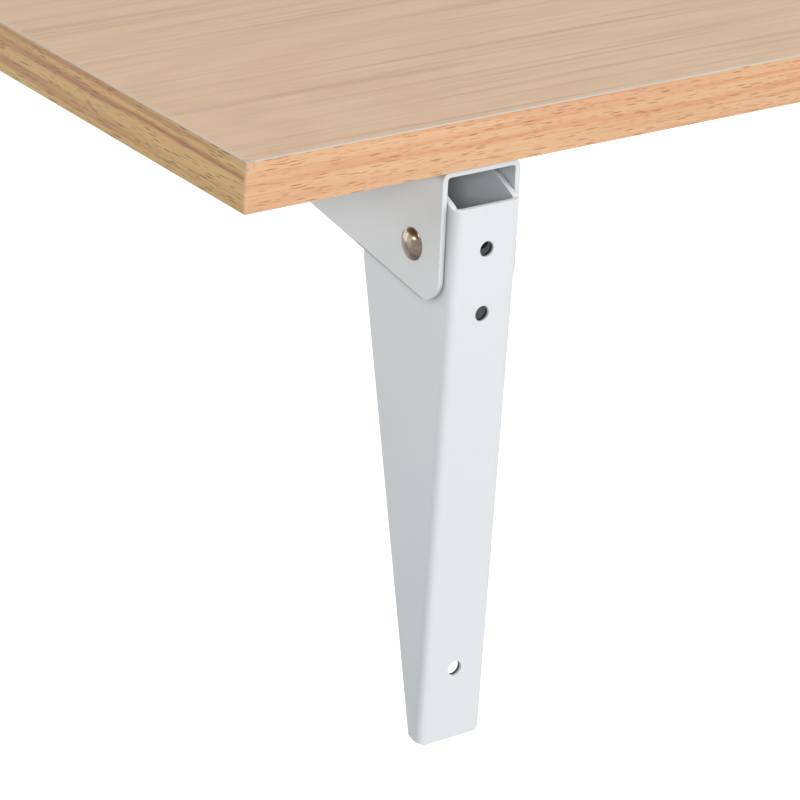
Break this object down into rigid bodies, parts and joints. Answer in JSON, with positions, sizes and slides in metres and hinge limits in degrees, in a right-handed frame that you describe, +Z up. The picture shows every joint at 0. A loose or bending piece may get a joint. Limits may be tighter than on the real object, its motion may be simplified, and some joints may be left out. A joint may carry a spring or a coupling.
{
  "type": "wall-mounted folding table",
  "caption": "Laminated board on folding sheet-steel wall brackets; a latch holds it level, and it folds down flat against the wall.",
  "frame": {"origin": "on the wall plane, midway between the two brackets and midway between the top and bottom wall screw holes", "axes": "+Z up; the wall is the plane y = 0 and the table reaches out along -Y; X runs along the wall, left end at -X as seen from the room"},
  "size_m": [0.8, 0.404, 0.208],
  "materials": {
    "oak_laminate": "satin oak-pattern melamine laminate",
    "oak_edge": "satin oak-pattern edge band, warmer than the top",
    "particle_board": "raw particle board",
    "white_paint": "smooth white powder coat on sheet steel",
    "nickel": "polished, warm nickel-plated rivet",
    "zinc": "zinc-plated steel",
    "dark_steel": "blackened steel",
    "bush_plastic": "natural nylon"
  },
  "bodies": {
    "wall_brackets": {"left_wall_channel": "white_paint", "right_wall_channel": "white_paint", "left_lock_pin": "zinc", "right_lock_pin": "zinc", "left_pivot_spacer": "dark_steel", "right_pivot_spacer": "dark_steel"},
    "table": {"tabletop_core": "particle_board", "top_laminate": "oak_laminate", "bottom_laminate": "oak_laminate", "front_edge_band": "oak_edge", "back_edge_band": "oak_edge", "left_edge_band": "oak_edge", "right_edge_band": "oak_edge", "left_pivot_rivet": "nickel", "right_pivot_rivet": "nickel", "left_arm_channel": "white_paint", "right_arm_channel": "white_paint", "left_arm_screws": "zinc", "right_arm_screws": "zinc", "left_latch_pin": "zinc", "right_latch_pin": "zinc", "left_latch_bushes": "bush_plastic", "right_latch_bushes": "bush_plastic", "left_latch_spring": "zinc", "right_latch_spring": "zinc"},
    "left_latch": {"left_latch_lever": "dark_steel"},
    "right_latch": {"right_latch_lever": "dark_steel"}
  },
  "joints": [
    {"name": "fold", "type": "hinge", "parent": "wall_brackets", "child": "table", "pos_m": [0, -0.018, 0.069], "axis": [1, 0, 0], "range_deg": [0, 90]},
    {"name": "left_latch_swing", "type": "hinge", "parent": "table", "child": "left_latch", "pos_m": [-0.3138, -0.07, 0.0897], "axis": [1, 0, 0], "range_deg": [0, 4.6], "stiffness_Nm_per_rad": 0.1},
    {"name": "right_latch_swing", "type": "hinge", "parent": "table", "child": "right_latch", "pos_m": [0.3138, -0.07, 0.0897], "axis": [1, 0, 0], "range_deg": [0, 4.6], "stiffness_Nm_per_rad": 0.1}
  ]
}
